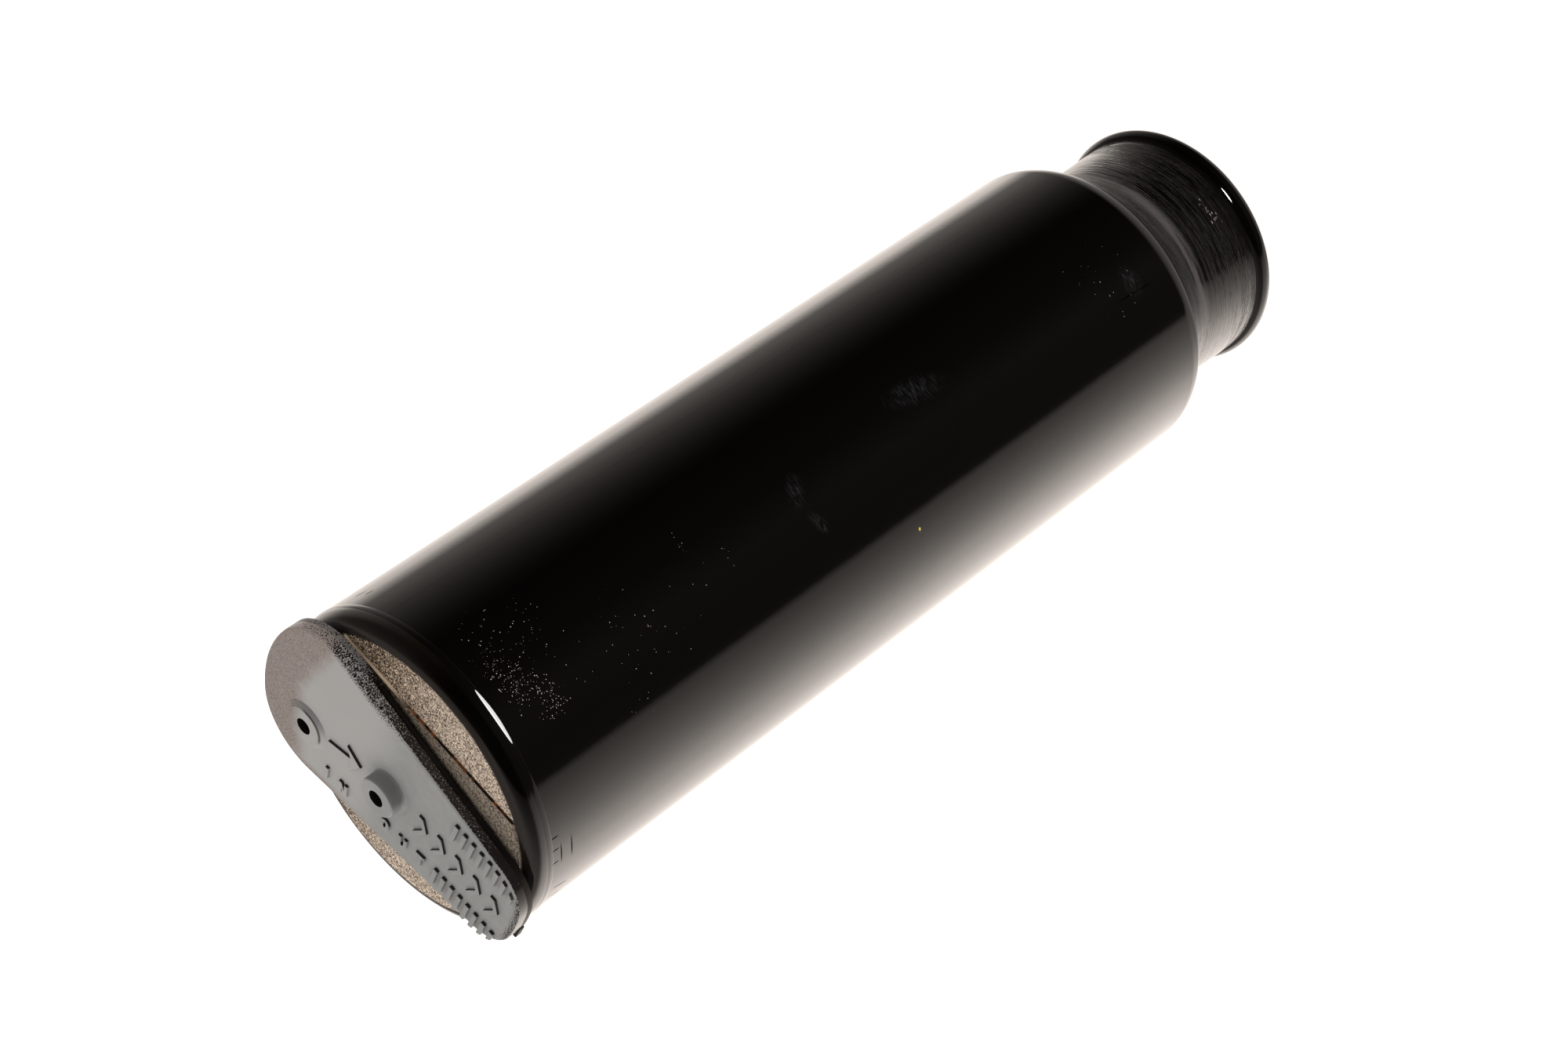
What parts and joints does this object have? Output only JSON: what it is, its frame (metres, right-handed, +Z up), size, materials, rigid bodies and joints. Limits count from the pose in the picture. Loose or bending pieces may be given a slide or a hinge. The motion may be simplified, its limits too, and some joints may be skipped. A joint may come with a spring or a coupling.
{
  "type": "receiver drier",
  "caption": "Upright drier can with a necked, beaded foot and a welded head whose two ports are plugged by a tapered moulded cover.",
  "frame": {"origin": "centre of the ring face that the bead stands on", "axes": "+Z up along the can's axis, from the bead to the head; +X along the cover, from its wide inlet end to its narrow ribbed tip; +Y across the cover, away from the inlet's side"},
  "size_m": [0.0622, 0.0604, 0.2129],
  "materials": {
    "can_paint": "glossy black paint with light handling marks",
    "head_metal": "bare steel face with paint overspray, black paint on the rim",
    "gasket_rubber": "black sheet rubber",
    "cover_moulding": "matte light grey moulding with dark overspray",
    "tube_steel": "drawn tube",
    "sheet_steel": "pressed sheet",
    "spring_steel": "drawn spring wire",
    "wire_gauze": "fine woven wire",
    "felt": "pressed felt",
    "desiccant": "porous beads",
    "bush_rubber": "black rubber",
    "strainer_moulding": "natural moulded plastic"
  },
  "bodies": {
    "root": {"receiver_shell": "can_paint", "head": "head_metal", "girth_weld": "can_paint", "cover_gasket": "gasket_rubber", "port_cover": "cover_moulding", "pickup_tube": "tube_steel", "inlet_baffle": "sheet_steel", "bed_spring": "spring_steel", "upper_plate": "sheet_steel", "upper_gauze": "wire_gauze", "upper_pad": "felt", "desiccant_bed": "desiccant", "lower_pad": "felt", "lower_gauze": "wire_gauze", "lower_plate": "sheet_steel", "tube_bush": "bush_rubber", "tube_seal": "bush_rubber", "strainer_cage": "strainer_moulding", "strainer_gauze": "wire_gauze", "strainer_cap": "sheet_steel"}
  },
  "joints": []
}
